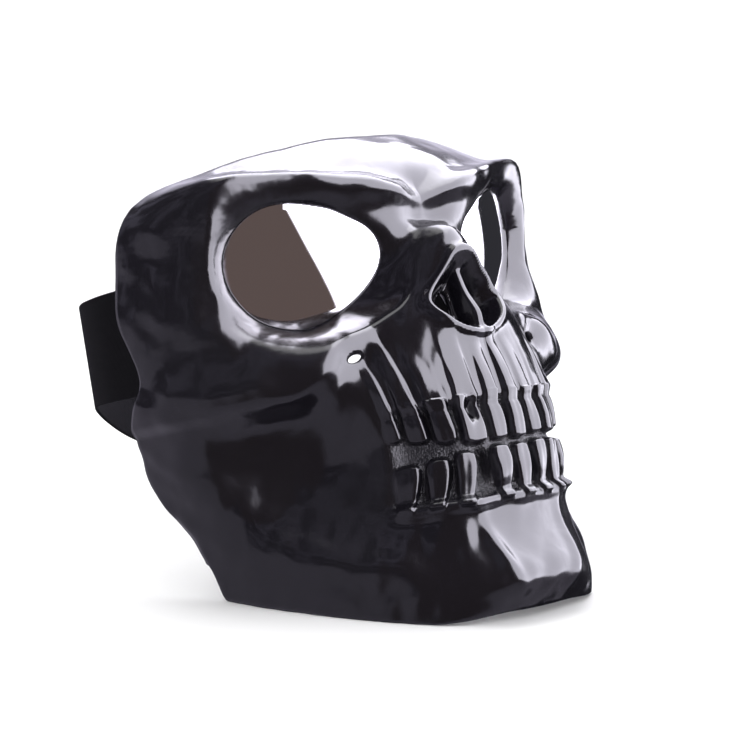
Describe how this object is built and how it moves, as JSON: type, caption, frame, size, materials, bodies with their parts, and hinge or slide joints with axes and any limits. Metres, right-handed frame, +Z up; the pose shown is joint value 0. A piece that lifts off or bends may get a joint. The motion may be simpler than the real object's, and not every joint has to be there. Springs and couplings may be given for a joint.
{
  "type": "skull mask",
  "caption": "Gloss black full-face skull mask with mirrored lenses in the eye openings and a wide strap behind.",
  "frame": {"origin": "on the surface the mask stands on, under the middle of its outer box", "axes": "+X to the viewer's right of a person facing the mask, +Y from the face back through the strap, +Z up"},
  "size_m": [0.1838, 0.2194, 0.1633],
  "materials": {
    "gloss_black": "gloss",
    "mirror_lens": "mirror",
    "black_webbing": "woven",
    "black_pad": "matte"
  },
  "bodies": {
    "root": {"shell": "gloss_black", "lens_right": "mirror_lens", "lens_left": "mirror_lens", "strap": "black_webbing", "strap_pad_right": "black_pad", "strap_pad_left": "black_pad"}
  },
  "joints": []
}
